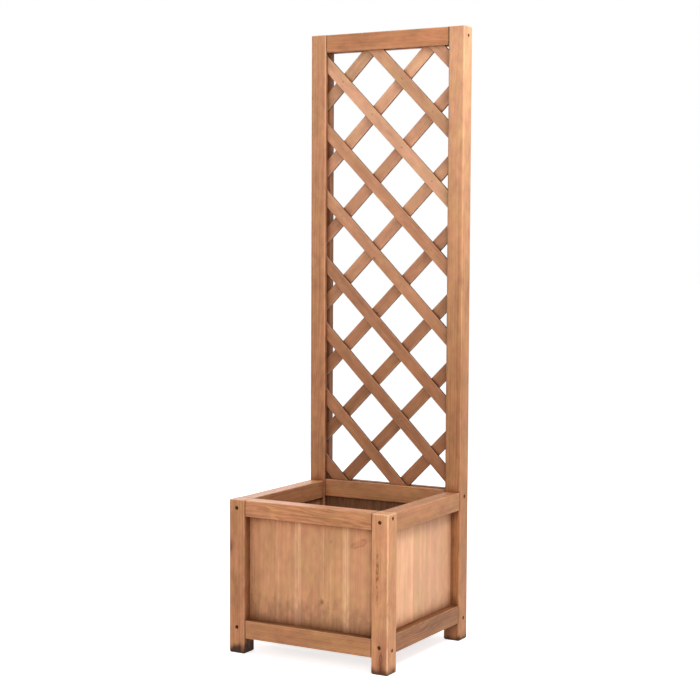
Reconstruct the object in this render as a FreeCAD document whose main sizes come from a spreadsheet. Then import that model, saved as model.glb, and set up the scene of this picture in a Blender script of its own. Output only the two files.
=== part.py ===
# Planter with trellis: a square wooden box on four post feet, and a diagonal lattice
# held between its two tall rear posts.
#
# Units are millimetres. X runs to the right, Y to the back and Z up. The origin is on the
# ground, below the middle of the four posts. Every expression below is in these axes.
import FreeCAD, Part
import os

# Name, value in mm, and what it measures. Everything else is worked out from these.
SIZES = [
    ("overall_width", 374, "over the outer faces of the posts, left to right"),
    ("overall_depth", 360, "over the outer faces of the posts, front to back"),
    ("overall_height", 1303, "ground to the top of the rear posts"),
    ("rim_height", 320, "ground to the top of the box and of the front posts"),
    ("foot_height", 32, "ground to the underside of the front and rear bottom rails"),
    ("side_rail_rise", 7, "the side bottom rails lie this much higher than those"),
    ("post_size", 38, "side of a square post"),
    ("post_arris_radius", 4, "rounding of a post's long edges"),
    ("foot_chamfer", 2.5, "bevel around the underside of a foot"),
    ("post_top_chamfer", 1, "bevel around the top of a post"),
    ("rail_height", 38, "height of every rail but the front top rail"),
    ("front_top_rail_height", 33.5, "height of the front top rail"),
    ("rear_top_rail_rise", 4, "the rear top rail stands this far above the rim"),
    ("rail_setback", 2, "a rail's faces lie this far inside the faces of its posts"),
    ("rail_arris_radius", 2, "rounding of a rail's long edges"),
    ("panel_thickness", 8, "thickness of a wall panel"),
    ("panel_recess", 21, "outer face of a post to the outer face of a panel"),
    ("panel_groove_depth", 5, "depth of the grooves that hold a panel"),
    ("panel_side_clearance", 0.2, "room in the groove at each face of a panel"),
    ("panel_edge_gap", 1, "room for a panel to swell at its edges"),
    ("lattice_lip", 7, "front face of a rear post to the lattice groove"),
    ("lattice_groove_depth", 7, "depth of the grooves that hold the lattice"),
    ("lattice_side_clearance", 0.5, "room in the groove at each face of the lattice"),
    ("slat_width", 26.8, "width of a lattice slat"),
    ("slat_thickness", 6, "thickness of a lattice slat"),
    ("slat_arris_radius", 1, "rounding of a slat's long edges"),
    ("bearer_width", 18, "floor bearer, across"),
    ("bearer_height", 18, "floor bearer, upright"),
    ("bearer_rise", 4, "underside of a side bottom rail to the underside of its bearer"),
    ("bearer_end_gap", 2, "end of a bearer to the post beside it"),
    ("floor_board_thickness", 12, "thickness of a floor board"),
    ("floor_board_gap", 6, "drain gap between two floor boards"),
    ("floor_edge_gap", 1.5, "floor boards to the posts and rails around them"),
    ("floor_arris_radius", 1.5, "rounding of a floor board's long edges"),
    ("cross_screw_offset", 7, "height between the two screws that cross in a post"),
    ("frame_screw_head", 7.4, "head diameter of the screws through the posts"),
    ("frame_screw_head_height", 3, "head height of the same screws"),
    ("frame_screw_shank", 4, "shank diameter of the same screws"),
    ("frame_screw_seat", 9, "depth of the seat below the face of the post"),
    ("frame_screw_bite", 28, "length of the screw inside the end of a rail"),
    ("bearer_screw_head", 6, "head diameter of the screws through the bearers"),
    ("bearer_screw_head_height", 2.4, "head height of the same screws"),
    ("bearer_screw_shank", 3.5, "shank diameter of the same screws"),
    ("bearer_screw_seat", 4, "depth of the seat below the face of the bearer"),
    ("bearer_screw_bite", 14, "length of the screw inside the bottom rail"),
    ("slot_length", 4, "length of each slot of the cross recess in a screw's head"),
    ("slot_width", 1.1, "width of each slot of the cross recess"),
    ("slot_depth", 1.5, "depth of the cross recess"),
    ("floor_nail_head", 4.5, "head diameter of the nails in the floor boards"),
    ("floor_nail_head_height", 1, "head height of the same nails"),
    ("floor_nail_shank", 2, "shank diameter of the same nails"),
    ("floor_nail_cover", 3, "wood left in the bearer below a nail's point"),
    ("brad_head", 3, "head diameter of the brads at the lattice crossings"),
    ("brad_head_height", 0.8, "head height of the same brads"),
    ("brad_shank", 1.5, "shank diameter of the same brads"),
    ("brad_cover", 1.5, "wood left behind a brad's point"),
    ("head_clearance", 0.3, "room around a fastener's head"),
    ("shank_clearance", 0.1, "room around a fastener's shank"),
    ("point_clearance", 0.5, "room beyond a fastener's point"),
]

FRONT_SLATS = 9      # slats of the front layer, which fall from left to right
BACK_SLATS = 8       # slats of the back layer, which rise from left to right
FRONT_START = 0.25   # lowest corner of the trellis opening to the first slat, in pitches
BACK_START = 0.76    # the same for the back layer
FAR_END = 0.215      # last slat of the front layer to the highest corner, in pitches
FLOOR_BOARDS = 5

doc = FreeCAD.newDocument("planter_with_trellis")
sheet = doc.addObject("Spreadsheet::Sheet", "sizes")
for row, (alias, value, meaning) in enumerate(SIZES, start=1):
    sheet.set("A%d" % row, alias)
    sheet.set("B%d" % row, str(value))
    sheet.set("C%d" % row, meaning)
    sheet.setAlias("B%d" % row, alias)
doc.recompute()

# Every size as it is written in an expression, and its number for counting.
S = {alias: "sizes." + alias for alias, value, meaning in SIZES}
NUMBER = {alias: float(value) for alias, value, meaning in SIZES}

HALF_WIDTH = "({overall_width} / 2)".format(**S)
HALF_DEPTH = "({overall_depth} / 2)".format(**S)
BETWEEN_X = "({overall_width} - 2 * {post_size})".format(**S)
BETWEEN_Y = "({overall_depth} - 2 * {post_size})".format(**S)
RAIL_THICKNESS = "({post_size} - 2 * {rail_setback})".format(**S)

# Underside and height of each rail of the box. The rails on the two sides are alike.
RAILS = {
    ("front", "bottom"): (S["foot_height"], S["rail_height"]),
    ("rear", "bottom"): (S["foot_height"], S["rail_height"]),
    ("side", "bottom"): ("({foot_height} + {side_rail_rise})".format(**S), S["rail_height"]),
    ("front", "top"): ("({rim_height} - {front_top_rail_height})".format(**S),
                       S["front_top_rail_height"]),
    ("rear", "top"): ("({rim_height} + {rear_top_rail_rise} - {rail_height})".format(**S),
                      S["rail_height"]),
    ("side", "top"): ("({rim_height} - {rail_height})".format(**S), S["rail_height"]),
}
TRELLIS_RAIL_Z = "({overall_height} - {rail_height})".format(**S)

DIRECTIONS = {
    "+x": FreeCAD.Rotation(FreeCAD.Vector(0, 1, 0), 90),
    "-x": FreeCAD.Rotation(FreeCAD.Vector(0, 1, 0), -90),
    "+y": FreeCAD.Rotation(FreeCAD.Vector(1, 0, 0), -90),
    "-y": FreeCAD.Rotation(FreeCAD.Vector(1, 0, 0), 90),
    "-z": FreeCAD.Rotation(FreeCAD.Vector(1, 0, 0), 180),
}

sub_parts = {}


def bind(obj, **expressions):
    """Bind properties of obj to expressions."""
    for name, expression in expressions.items():
        obj.setExpression(name, expression)


def bind_base(obj, position):
    """Bind the three coordinates of obj's Placement."""
    for axis, expression in zip("xyz", position):
        obj.setExpression(".Placement.Base." + axis, expression)


class Board:
    """A squared piece of wood: a PartDesign body that starts as one box.

    size and corner are expressions along X, Y and Z. The corner is the low one. Boards are
    made square to the axes, and the body of a slat is turned afterwards.
    """

    def __init__(self, label, size, corner):
        self.label = label
        self.corner = corner
        self.body = doc.addObject("PartDesign::Body", label + "_wood")
        bind_base(self.body, corner)
        self.tip = self.body.newObject("PartDesign::AdditiveBox", label + "_blank")
        bind(self.tip, Length=size[0], Width=size[1], Height=size[2])
        doc.recompute()

    def edges(self, wanted):
        """Names of the edges of the last feature for which wanted(edge) holds."""
        edges = self.tip.Shape.Edges
        return ["Edge%d" % (n + 1) for n, edge in enumerate(edges) if wanted(edge)]

    def round_along(self, axis, radius):
        """Round the long edges that run along X (0), Y (1) or Z (2)."""
        def runs_along(edge):
            start, end = (vertex.Point for vertex in edge.Vertexes)
            return abs(abs(end[axis] - start[axis]) - edge.Length) < 1e-6
        names = self.edges(runs_along)
        fillet = self.body.newObject("PartDesign::Fillet", self.label + "_arrises")
        fillet.Base = (self.tip, names)
        bind(fillet, Radius=radius)
        self.tip = fillet
        doc.recompute()

    def bevel_end(self, name, top, size):
        """Bevel the edges around the underside or the top of an upright board."""
        box = self.tip.Shape.BoundBox
        level = box.ZMax if top else box.ZMin

        def lies_at_end(edge):
            return max(abs(edge.BoundBox.ZMin - level), abs(edge.BoundBox.ZMax - level)) < 1e-4
        names = self.edges(lies_at_end)
        chamfer = self.body.newObject("PartDesign::Chamfer", self.label + name)
        chamfer.Base = (self.tip, names)
        bind(chamfer, Size=size)
        self.tip = chamfer
        doc.recompute()

    def groove(self, name, size, corner):
        """Cut a box-shaped groove. Size and low corner are in the planter's axes."""
        cut = self.body.newObject("PartDesign::SubtractiveBox", self.label + name)
        bind(cut, Length=size[0], Width=size[1], Height=size[2])
        bind_base(cut, ["%s - %s" % pair for pair in zip(corner, self.corner)])
        before = self.tip.Shape.Volume
        self.tip = cut
        doc.recompute()
        if not cut.Shape.Volume < before:
            raise RuntimeError("%s%s cuts nothing" % (self.label, name))


class Fastener:
    """A kind of screw, nail or brad, and the hole that each one sits in.

    The pattern points along +Z from the face of the wood, which is its origin. Each copy is
    a link to the pattern, and the link to the hole goes to the same place.
    """

    def __init__(self, kind, label, seat, shank_length, slotted):
        self.kind = kind
        self.label = label
        head, head_height, shank = S[kind + "_head"], S[kind + "_head_height"], S[kind + "_shank"]
        parts = [
            self.cylinder("_top", head + " / 2", head_height, "%s - %s" % (seat, head_height)),
            self.cylinder("_stem", shank + " / 2", "%s - %s" % (shank_length, shank), seat),
            self.cone("_point", shank, "%s + %s - %s" % (seat, shank_length, shank)),
        ]
        self.pattern = doc.addObject("Part::MultiFuse", kind + "_body")
        self.pattern.Shapes = parts
        if slotted:
            slots = doc.addObject("Part::MultiFuse", kind + "_recess")
            slots.Shapes = [self.slot("_slot_1", seat, True), self.slot("_slot_2", seat, False)]
            body = self.pattern
            self.pattern = doc.addObject("Part::Cut", kind + "_pattern")
            self.pattern.Base = body
            self.pattern.Tool = slots
        self.hole = doc.addObject("Part::MultiFuse", kind + "_hole")
        self.hole.Shapes = [
            self.cylinder("_seat", "%s / 2 + %s" % (head, S["head_clearance"]),
                          "2 * %s" % seat, "-%s" % seat),
            self.cylinder("_pilot", "%s / 2 + %s" % (shank, S["shank_clearance"]),
                          "%s + %s" % (shank_length, S["point_clearance"]), seat),
        ]
        self.copies = []
        self.holes = []

    def cylinder(self, name, radius, height, start):
        piece = doc.addObject("Part::Cylinder", self.kind + name)
        bind(piece, Radius=radius, Height=height)
        bind_base(piece, ("0", "0", start))
        return piece

    def cone(self, name, width, start):
        piece = doc.addObject("Part::Cone", self.kind + name)
        piece.Radius2 = 0
        bind(piece, Radius1=width + " / 2", Height=width)
        bind_base(piece, ("0", "0", start))
        return piece

    def slot(self, name, seat, along_x):
        piece = doc.addObject("Part::Box", self.kind + name)
        long_side, short_side, deep = S["slot_length"], S["slot_width"], S["slot_depth"]
        length, width = (long_side, short_side) if along_x else (short_side, long_side)
        bind(piece, Length=length, Width=width, Height=deep)
        top = "%s - %s" % (seat, S[self.kind + "_head_height"])
        bind_base(piece, ("-%s / 2" % length, "-%s / 2" % width, top))
        return piece

    def place(self, position, direction):
        """Put one in the wood, entering at position and pointing along direction."""
        count = len(self.copies) + 1
        for source, kept, name in ((self.pattern, self.copies, "_"), (self.hole, self.holes, "_hole_")):
            link = doc.addObject("App::Link", self.kind + name + str(count))
            link.LinkedObject = source
            link.LinkTransform = True
            link.Placement = FreeCAD.Placement(FreeCAD.Vector(), DIRECTIONS[direction])
            bind_base(link, position)
            kept.append(link)

    def gather(self):
        """Group the copies as one sub-part, and their holes as one cutter."""
        group = doc.addObject("Part::Compound", self.label)
        group.Links = self.copies
        sub_parts[self.label] = group
        self.cutter = doc.addObject("Part::Compound", self.kind + "_holes")
        self.cutter.Links = self.holes


def finish(board, *fasteners):
    """Drill a board for its fasteners and keep it as a sub-part."""
    piece = board.body
    for fastener in fasteners:
        drilled = doc.addObject("Part::Cut", board.label + "_" + fastener.kind)
        drilled.Base = piece
        drilled.Tool = fastener.cutter
        piece = drilled
    piece.Label = board.label
    sub_parts[board.label] = piece


def low_corner(side, half, inset, thickness):
    """Low coordinate of a piece that lies inset from the outer face on one side.

    side is -1 for the left or front, and 1 for the right or rear.
    """
    if side < 0:
        return "(-%s + %s)" % (half, inset)
    return "(%s - %s - %s)" % (half, inset, thickness)


# ---------------------------------------------------------------- fasteners

frame_screw = Fastener(
    "frame_screw", "frame_screws", S["frame_screw_seat"],
    "({post_size} - {frame_screw_seat} + {frame_screw_bite})".format(**S), slotted=True)
bearer_screw = Fastener(
    "bearer_screw", "bearer_screws", S["bearer_screw_seat"],
    "({bearer_width} - {bearer_screw_seat} + {bearer_screw_bite})".format(**S), slotted=True)
floor_nail = Fastener(
    "floor_nail", "floor_nails", S["floor_nail_head_height"],
    "({floor_board_thickness} + {bearer_height} - {floor_nail_head_height}"
    " - {floor_nail_cover})".format(**S), slotted=False)
brad = Fastener(
    "brad", "lattice_brads", S["brad_head_height"],
    "(2 * {slat_thickness} - {brad_head_height} - {brad_cover})".format(**S), slotted=False)

# Two screws cross in each post at each level of rails: one through the front or rear face
# into a side rail, at the middle of the height that all the rails share, and one through the
# outer side face into the front or rear rail, a little further from the middle of the box.
LEVELS = {
    "bottom": "({foot_height} + ({side_rail_rise} + {rail_height}) / 2)".format(**S),
    "top": "({rim_height} - {front_top_rail_height} / 2)".format(**S),
}
for side_x in (-1, 1):
    for side_y in (-1, 1):
        post_x = "%d * (%s - %s / 2)" % (side_x, HALF_WIDTH, S["post_size"])
        post_y = "%d * (%s - %s / 2)" % (side_y, HALF_DEPTH, S["post_size"])
        for level, away in (("bottom", -1), ("top", 1)):
            middle = LEVELS[level]
            crossing = "%s + %d * %s" % (middle, away, S["cross_screw_offset"])
            frame_screw.place((post_x, "%d * %s" % (side_y, HALF_DEPTH), middle),
                              "-y" if side_y > 0 else "+y")
            frame_screw.place(("%d * %s" % (side_x, HALF_WIDTH), post_y, crossing),
                              "-x" if side_x > 0 else "+x")
for side_x in (-1, 1):
    frame_screw.place(("%d * %s" % (side_x, HALF_WIDTH),
                       "%s - %s / 2" % (HALF_DEPTH, S["post_size"]),
                       "%s + %s / 2" % (TRELLIS_RAIL_Z, S["rail_height"])),
                      "-x" if side_x > 0 else "+x")

# ---------------------------------------------------------------- floor layout

# The boards lie left to right on two bearers, which are screwed to the side rails.
FLOOR_SPAN_Y = "({overall_depth} - 2 * {post_size} + 2 * {rail_setback}" \
               " - 2 * {floor_edge_gap})".format(**S)
BOARD_WIDTH = "((%s - %d * {floor_board_gap}) / %d)".format(**S) % (
    FLOOR_SPAN_Y, FLOOR_BOARDS - 1, FLOOR_BOARDS)
BOARD_PITCH = "(%s + %s)" % (BOARD_WIDTH, S["floor_board_gap"])
BEARER_INSET = "({post_size} - {rail_setback})".format(**S)
BEARER_Z = "({foot_height} + {side_rail_rise} + {bearer_rise})".format(**S)
FLOOR_Z = "(%s + %s)" % (BEARER_Z, S["bearer_height"])

for side_x in (-1, 1):
    bearer_x = "%d * (%s - %s - %s / 2)" % (side_x, HALF_WIDTH, BEARER_INSET, S["bearer_width"])
    for n in range(FLOOR_BOARDS):
        centre_y = "%g * %s" % (n - (FLOOR_BOARDS - 1) / 2, BOARD_PITCH)
        for side_y in (-1, 1):
            floor_nail.place((bearer_x, "%s + %d * %s / 4" % (centre_y, side_y, BOARD_WIDTH),
                              "%s + %s" % (FLOOR_Z, S["floor_board_thickness"])), "-z")
    for share in (-1.5, 0, 1.5):
        bearer_screw.place(("%d * (%s - %s - %s)" % (side_x, HALF_WIDTH, BEARER_INSET, S["bearer_width"]),
                            "%g * %s" % (share, BOARD_PITCH),
                            "%s + %s / 2" % (BEARER_Z, S["bearer_height"])),
                           "+x" if side_x > 0 else "-x")

# ---------------------------------------------------------------- lattice layout

# The slats lie at 45 degrees. A slat of the front layer follows x + z = c, and one of the
# back layer follows z - x = c, with z counted from the bottom of the trellis opening. Along
# both layers c steps by one pitch from the lowest corner, past which each layer has its own
# start.
OPENING_Z = "({rim_height} + {rear_top_rail_rise})".format(**S)
OPENING_HEIGHT = "(%s - %s)" % (TRELLIS_RAIL_Z, OPENING_Z)
PITCHES = FRONT_START + FRONT_SLATS - 1 + FAR_END
PITCH = "((%s + %s) / %g)" % (BETWEEN_X, OPENING_HEIGHT, PITCHES)
GROOVE_WIDTH = "(2 * {slat_thickness} + 2 * {lattice_side_clearance})".format(**S)
GROOVE_Y = "(%s - {post_size} + {lattice_lip})".format(**S) % HALF_DEPTH
FRONT_LAYER_Y = "(%s + %s)" % (GROOVE_Y, S["lattice_side_clearance"])
BACK_LAYER_Y = "(%s + %s)" % (FRONT_LAYER_Y, S["slat_thickness"])

opening_width = NUMBER["overall_width"] - 2 * NUMBER["post_size"]
opening_height = (NUMBER["overall_height"] - NUMBER["rail_height"] - NUMBER["rim_height"]
                  - NUMBER["rear_top_rail_rise"])
pitch = (opening_width + opening_height) / PITCHES
margin = NUMBER["slat_width"] / 2
for i in range(FRONT_SLATS):
    for j in range(BACK_SLATS):
        across = (i + FRONT_START - j - BACK_START) / 2     # in pitches, from the middle
        up = (i + FRONT_START + j + BACK_START) / 2         # in pitches, from the lowest corner
        height = up * pitch - opening_width / 2
        inside_x = abs(across * pitch) < opening_width / 2 - margin
        if inside_x and margin < height < opening_height - margin:
            brad.place(("%g * %s" % (across, PITCH), FRONT_LAYER_Y,
                        "%s - %s / 2 + %g * %s" % (OPENING_Z, BETWEEN_X, up, PITCH)), "+y")

for fastener in (frame_screw, bearer_screw, floor_nail, brad):
    fastener.gather()

# ---------------------------------------------------------------- posts

PANEL_GROOVE = "({panel_thickness} + 2 * {panel_side_clearance})".format(**S)
PANEL_GROOVE_INSET = "({panel_recess} - {panel_side_clearance})".format(**S)


def panel_groove_span(side):
    """Underside and height of the grooves that hold the panel on this side of the box."""
    low, low_height = RAILS[side, "bottom"]
    high, high_height = RAILS[side, "top"]
    underside = "(%s + %s - %s)" % (low, low_height, S["panel_groove_depth"])
    return underside, "(%s + %s - %s)" % (high, S["panel_groove_depth"], underside)


def inner_face(side, half, depth):
    """Low coordinate of a groove cut this deep into the inner face of a post."""
    if side < 0:
        return "(-%s + %s - %s)" % (half, S["post_size"], depth)
    return "(%s - %s)" % (half, S["post_size"])


for side_x, x_name in ((-1, "left"), (1, "right")):
    for side_y, y_name, height in ((-1, "front", "rim_height"), (1, "rear", "overall_height")):
        size = S["post_size"]
        post = Board("%s_%s_post" % (y_name, x_name), (size, size, S[height]),
                     (low_corner(side_x, HALF_WIDTH, "0", size),
                      low_corner(side_y, HALF_DEPTH, "0", size), "0"))
        post.round_along(2, S["post_arris_radius"])
        post.bevel_end("_foot_bevel", False, S["foot_chamfer"])
        post.bevel_end("_top_bevel", True, S["post_top_chamfer"])
        deep = S["panel_groove_depth"]
        groove_z, groove_height = panel_groove_span(y_name)
        post.groove("_groove_front_or_rear_panel", (deep, PANEL_GROOVE, groove_height),
                    (inner_face(side_x, HALF_WIDTH, deep),
                     low_corner(side_y, HALF_DEPTH, PANEL_GROOVE_INSET, PANEL_GROOVE), groove_z))
        groove_z, groove_height = panel_groove_span("side")
        post.groove("_groove_side_panel", (PANEL_GROOVE, deep, groove_height),
                    (low_corner(side_x, HALF_WIDTH, PANEL_GROOVE_INSET, PANEL_GROOVE),
                     inner_face(side_y, HALF_DEPTH, deep), groove_z))
        if side_y > 0:
            deep = S["lattice_groove_depth"]
            post.groove("_groove_lattice",
                        (deep, GROOVE_WIDTH, "%s + 2 * %s" % (OPENING_HEIGHT, deep)),
                        (inner_face(side_x, HALF_WIDTH, deep), GROOVE_Y,
                         "(%s - %s)" % (OPENING_Z, deep)))
        finish(post, frame_screw)

# ---------------------------------------------------------------- rails and panels


def panel_groove_z(side, level):
    """Low height of the panel groove, in the top of a bottom rail or the underside of a top rail."""
    return RAILS[side, level][0] if level == "top" else panel_groove_span(side)[0]


def front_or_rear_rail(label, side_y, rail_z, height):
    """A rail that runs left to right between two posts."""
    rail = Board(label, (BETWEEN_X, RAIL_THICKNESS, height),
                 ("(-%s / 2)" % BETWEEN_X,
                  low_corner(side_y, HALF_DEPTH, S["rail_setback"], RAIL_THICKNESS), rail_z))
    rail.round_along(0, S["rail_arris_radius"])
    return rail


def lattice_groove(rail, groove_z):
    """The groove along a rail that holds the ends of the slats."""
    rail.groove("_groove_lattice", (BETWEEN_X, GROOVE_WIDTH, S["lattice_groove_depth"]),
                ("(-%s / 2)" % BETWEEN_X, GROOVE_Y, groove_z))


for side_y, name in ((-1, "front"), (1, "rear")):
    for level in ("bottom", "top"):
        rail = front_or_rear_rail("%s_%s_rail" % (name, level), side_y, *RAILS[name, level])
        rail.groove("_groove_panel", (BETWEEN_X, PANEL_GROOVE, S["panel_groove_depth"]),
                    ("(-%s / 2)" % BETWEEN_X,
                     low_corner(side_y, HALF_DEPTH, PANEL_GROOVE_INSET, PANEL_GROOVE),
                     panel_groove_z(name, level)))
        if (name, level) == ("rear", "top"):
            lattice_groove(rail, "(%s - %s)" % (OPENING_Z, S["lattice_groove_depth"]))
        finish(rail, frame_screw)

for side_x, name in ((-1, "left"), (1, "right")):
    for level in ("bottom", "top"):
        rail_z, height = RAILS["side", level]
        rail = Board("%s_%s_rail" % (name, level), (RAIL_THICKNESS, BETWEEN_Y, height),
                     (low_corner(side_x, HALF_WIDTH, S["rail_setback"], RAIL_THICKNESS),
                      "(-%s / 2)" % BETWEEN_Y, rail_z))
        rail.round_along(1, S["rail_arris_radius"])
        rail.groove("_groove_panel", (PANEL_GROOVE, BETWEEN_Y, S["panel_groove_depth"]),
                    (low_corner(side_x, HALF_WIDTH, PANEL_GROOVE_INSET, PANEL_GROOVE),
                     "(-%s / 2)" % BETWEEN_Y, panel_groove_z("side", level)))
        if level == "bottom":
            finish(rail, frame_screw, bearer_screw)
        else:
            finish(rail, frame_screw)

trellis_rail = front_or_rear_rail("trellis_top_rail", 1, TRELLIS_RAIL_Z, S["rail_height"])
lattice_groove(trellis_rail, TRELLIS_RAIL_Z)
finish(trellis_rail, frame_screw)

# The panels stand on the floor of the groove in the bottom rails.
PANEL_REACH = "({panel_groove_depth} - {panel_edge_gap})".format(**S)
for side, name in ((-1, "front"), (1, "rear")):
    groove_z, groove_height = panel_groove_span(name)
    panel = Board(name + "_panel",
                  ("%s + 2 * %s" % (BETWEEN_X, PANEL_REACH), S["panel_thickness"],
                   "%s - 2 * %s" % (groove_height, S["panel_edge_gap"])),
                  ("(-%s / 2 - %s)" % (BETWEEN_X, PANEL_REACH),
                   low_corner(side, HALF_DEPTH, S["panel_recess"], S["panel_thickness"]), groove_z))
    finish(panel)
for side, name in ((-1, "left"), (1, "right")):
    groove_z, groove_height = panel_groove_span("side")
    panel = Board(name + "_panel",
                  (S["panel_thickness"], "%s + 2 * %s" % (BETWEEN_Y, PANEL_REACH),
                   "%s - 2 * %s" % (groove_height, S["panel_edge_gap"])),
                  (low_corner(side, HALF_WIDTH, S["panel_recess"], S["panel_thickness"]),
                   "(-%s / 2 - %s)" % (BETWEEN_Y, PANEL_REACH), groove_z))
    finish(panel)

# ---------------------------------------------------------------- floor

for side, name in ((-1, "left"), (1, "right")):
    bearer = Board("floor_bearer_" + name,
                   (S["bearer_width"], "%s - 2 * %s" % (BETWEEN_Y, S["bearer_end_gap"]),
                    S["bearer_height"]),
                   (low_corner(side, HALF_WIDTH, BEARER_INSET, S["bearer_width"]),
                    "(-%s / 2 + %s)" % (BETWEEN_Y, S["bearer_end_gap"]), BEARER_Z))
    finish(bearer, bearer_screw, floor_nail)

FLOOR_SPAN_X = "(%s - 2 * %s)" % (BETWEEN_X, S["floor_edge_gap"])
for n in range(FLOOR_BOARDS):
    board = Board("floor_board_%d" % (n + 1), (FLOOR_SPAN_X, BOARD_WIDTH, S["floor_board_thickness"]),
                  ("(-%s / 2)" % FLOOR_SPAN_X,
                   "(-%s / 2 + %d * %s)" % (FLOOR_SPAN_Y, n, BOARD_PITCH), FLOOR_Z))
    board.round_along(0, S["floor_arris_radius"])
    finish(board, floor_nail)

# ---------------------------------------------------------------- lattice

# The slats are cut off plumb and level at the floors of the grooves around the opening.
window = doc.addObject("Part::Box", "lattice_window")
bind(window, Length="%s + 2 * %s" % (BETWEEN_X, S["lattice_groove_depth"]), Width=GROOVE_WIDTH,
     Height="%s + 2 * %s" % (OPENING_HEIGHT, S["lattice_groove_depth"]))
bind_base(window, ("-%s / 2 - %s" % (BETWEEN_X, S["lattice_groove_depth"]), GROOVE_Y,
                   "%s - %s" % (OPENING_Z, S["lattice_groove_depth"])))

SLAT_LENGTH = "((%s + 2 * {lattice_groove_depth}) * sqrt(2) + 2 * {slat_width})".format(**S) % BETWEEN_X
# Where the low corner of a slat lies from its middle, along its length and across it.
ALONG = "(%s / 2 / sqrt(2))" % SLAT_LENGTH
ACROSS = "(%s / 2 / sqrt(2))" % S["slat_width"]


def make_slat(label, layer_y, middle_z, falling):
    """One slat, with its middle at x = 0 and the height middle_z."""
    if falling:
        corner = ("(-%s - %s)" % (ALONG, ACROSS), layer_y, "(%s + %s - %s)" % (middle_z, ALONG, ACROSS))
    else:
        corner = ("(-%s + %s)" % (ALONG, ACROSS), layer_y, "(%s - %s - %s)" % (middle_z, ALONG, ACROSS))
    slat = Board(label, (SLAT_LENGTH, S["slat_thickness"], S["slat_width"]), corner)
    slat.round_along(0, S["slat_arris_radius"])
    turn = FreeCAD.Rotation(FreeCAD.Vector(0, 1, 0), 45 if falling else -45)
    slat.body.Placement = FreeCAD.Placement(slat.body.Placement.Base, turn)
    doc.recompute()
    trimmed = doc.addObject("Part::Common", label + "_trimmed")
    trimmed.Base = slat.body
    trimmed.Tool = window
    slat.body = trimmed
    finish(slat, brad)


for n in range(FRONT_SLATS):
    make_slat("lattice_front_slat_%d" % (n + 1), FRONT_LAYER_Y,
              "(%s - %s / 2 + %g * %s)" % (OPENING_Z, BETWEEN_X, n + FRONT_START, PITCH), True)
for n in range(BACK_SLATS):
    make_slat("lattice_back_slat_%d" % (n + 1), BACK_LAYER_Y,
              "(%s - %s / 2 + %g * %s)" % (OPENING_Z, BETWEEN_X, n + BACK_START, PITCH), False)

# ---------------------------------------------------------------- checks and export

doc.recompute()
for obj in doc.Objects:
    if "Invalid" in obj.State or "Error" in obj.State:
        raise RuntimeError("%s failed: %s" % (obj.Label, obj.State))

fastener_groups = {kind.label: len(kind.copies) for kind in (frame_screw, bearer_screw, floor_nail, brad)}
for label, obj in sub_parts.items():
    shape = obj.Shape
    if shape.isNull() or not shape.isValid():
        raise RuntimeError("%s has no valid shape" % label)
    if len(shape.Solids) != fastener_groups.get(label, 1):
        raise RuntimeError("%s has %d solids" % (label, len(shape.Solids)))

os.makedirs("parts", exist_ok=True)
for label, obj in sub_parts.items():
    obj.Shape.exportStep("parts/%s.step" % label)
    box = obj.Shape.BoundBox
    print("%-26s %3d solid(s) %10.0f mm3  x %7.1f..%7.1f  y %7.1f..%7.1f  z %7.1f..%7.1f" % (
        label, len(obj.Shape.Solids), obj.Shape.Volume,
        box.XMin, box.XMax, box.YMin, box.YMax, box.ZMin, box.ZMax))
print(len(sub_parts), "sub-parts")
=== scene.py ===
import math
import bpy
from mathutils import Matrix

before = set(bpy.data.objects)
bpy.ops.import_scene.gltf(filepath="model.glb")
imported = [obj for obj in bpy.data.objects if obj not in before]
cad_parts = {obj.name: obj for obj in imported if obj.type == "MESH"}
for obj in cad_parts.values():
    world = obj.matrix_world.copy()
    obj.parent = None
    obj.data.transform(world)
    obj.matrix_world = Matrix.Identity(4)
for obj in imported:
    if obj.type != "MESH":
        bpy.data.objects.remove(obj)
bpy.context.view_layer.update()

import zlib

import bpy
from mathutils import Matrix, Vector

MM = 0.001

# ---------------------------------------------------------------- camera

# The photograph is taken from the right, from a little above the middle of the trellis.
CAMERA_AZIMUTH = 29.79       # degrees, to the right of straight ahead
CAMERA_ELEVATION = 3.834     # degrees above the target
CAMERA_ROLL = 0.26           # degrees
CAMERA_DISTANCE = 3.3064     # m, from the target
CAMERA_TARGET = Vector((-0.0039, 0.0, 0.6254))
FOCAL_LENGTH = 2.2557        # in widths of the picture
SENSOR_WIDTH = 36.0          # mm


def add_camera():
    """Place the camera where the photograph was taken."""
    azimuth, elevation, roll = (
        math.radians(angle) for angle in (CAMERA_AZIMUTH, CAMERA_ELEVATION, CAMERA_ROLL))
    back = Vector((math.sin(azimuth) * math.cos(elevation),
                   -math.cos(azimuth) * math.cos(elevation), math.sin(elevation)))
    level = Vector((math.cos(azimuth), math.sin(azimuth), 0.0))
    above = back.cross(level)
    right = math.cos(roll) * level + math.sin(roll) * above
    up = back.cross(right)
    data = bpy.data.cameras.new("camera")
    data.sensor_width = SENSOR_WIDTH
    data.lens = FOCAL_LENGTH * SENSOR_WIDTH
    camera = bpy.data.objects.new("camera", data)
    place = Matrix((right, up, back)).transposed().to_4x4()
    place.translation = CAMERA_TARGET + CAMERA_DISTANCE * back
    camera.matrix_world = place
    bpy.context.scene.collection.objects.link(camera)
    bpy.context.scene.camera = camera


# ---------------------------------------------------------------- shader graphs


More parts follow.
